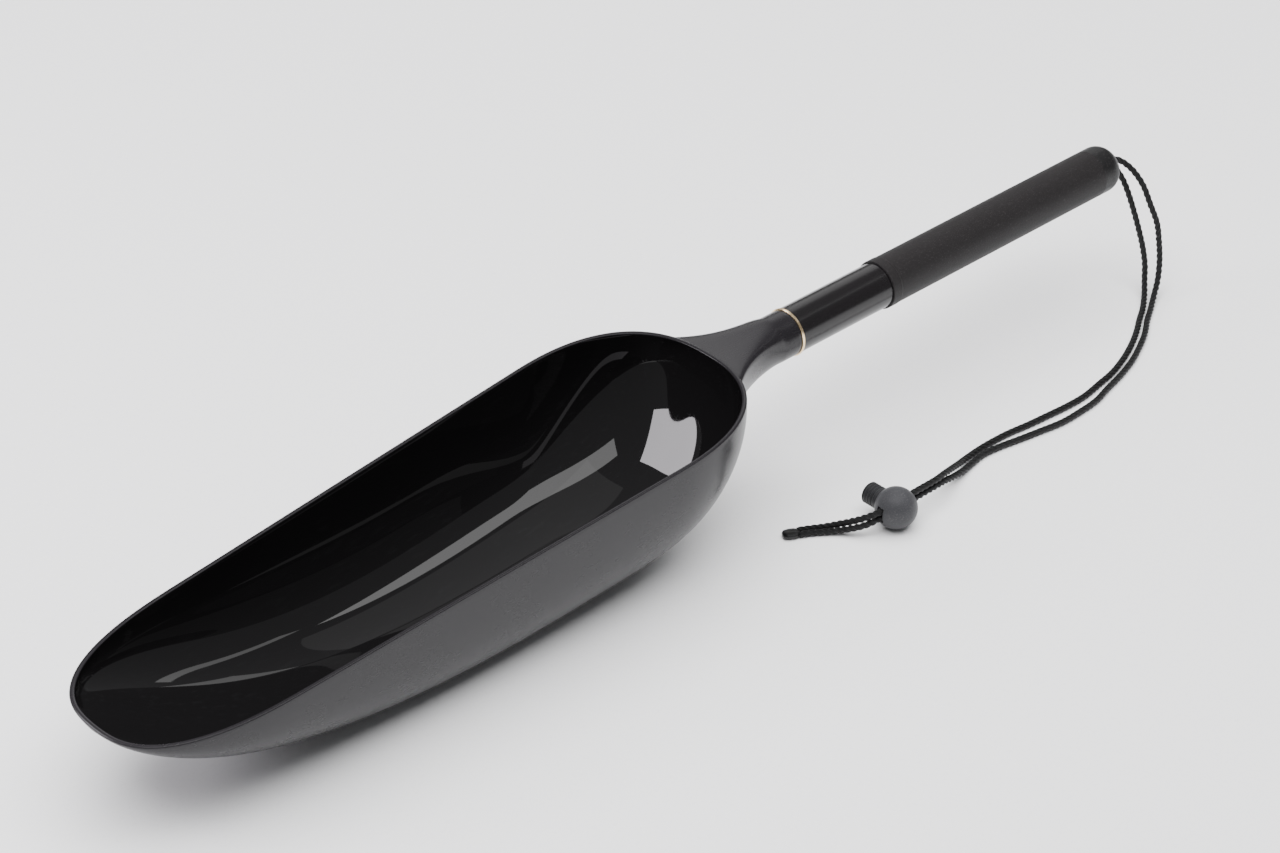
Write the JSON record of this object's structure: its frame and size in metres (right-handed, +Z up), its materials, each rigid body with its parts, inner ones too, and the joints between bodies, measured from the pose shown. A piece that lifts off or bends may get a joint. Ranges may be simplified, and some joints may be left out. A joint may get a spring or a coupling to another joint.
{
  "type": "hand scoop",
  "caption": "Long trough-shaped hand scoop in gloss black with a flared neck, a screw-on round handle with a sleeve grip, a thin gold ring and a cord lanyard with a spring cord lock.",
  "frame": {"origin": "on the ground, midway between the scoop's lip and the handle's butt, under the handle's centre line", "axes": "+X from the lip to the butt along the handle's centre line, +Y to the left of someone who faces along +X, +Z up out of the open trough"},
  "size_m": [0.5821, 0.1348, 0.0714],
  "materials": {
    "moulded_black": "moulded black plastic, glossy inside, satin outside",
    "gloss_tube": "lacquered black tube",
    "grip": "matt grained grip sleeve",
    "cap": "matt moulded rubber",
    "gold_ring": "polished gold-coloured metal",
    "brass": "turned brass",
    "steel": "turned stainless steel",
    "cord": "black twisted nylon cord",
    "cord_melted": "melted nylon",
    "lock_grey": "satin moulded plastic",
    "button_grey": "satin moulded plastic with ribs"
  },
  "bodies": {
    "handle": {"handle_tube": "gloss_tube", "threaded_insert": "brass", "grip_sleeve": "grip", "butt_cap": "cap", "lanyard_knot": "cord", "lanyard_strand_a": "cord", "lanyard_strand_b": "cord", "cord_seal": "cord_melted"},
    "ring": {"trim_ring": "gold_ring"},
    "head": {"scoop": "moulded_black", "thread_stud": "steel"},
    "lock": {"lock_body": "lock_grey", "lock_spring": "steel"},
    "button": {"lock_button": "button_grey"}
  },
  "joints": [
    {"name": "head_turn", "type": "hinge", "parent": "handle", "child": "ring", "pos_m": [0.07795, 0, 0.06008], "axis": [-1, 0, 0], "range_deg": [0, 3960]},
    {"name": "head_draw", "type": "slide", "parent": "ring", "child": "head", "axis": [-1, 0, 0], "range_m": [0, 0.01398]},
    {"name": "lock_slide", "type": "slide", "parent": "handle", "child": "lock", "axis": [1, 0, 0], "range_m": [0, 0.014]},
    {"name": "button_press", "type": "slide", "parent": "lock", "child": "button", "axis": [0, -1, 0], "range_m": [0, 0.004], "stiffness_N_per_m": 900, "springref_m": -0.003, "deforming": ["lock_spring"]}
  ],
  "couplings": [
    {"joint": "head_draw", "follows": "head_turn", "m_per_rad": 0.00020213}
  ]
}
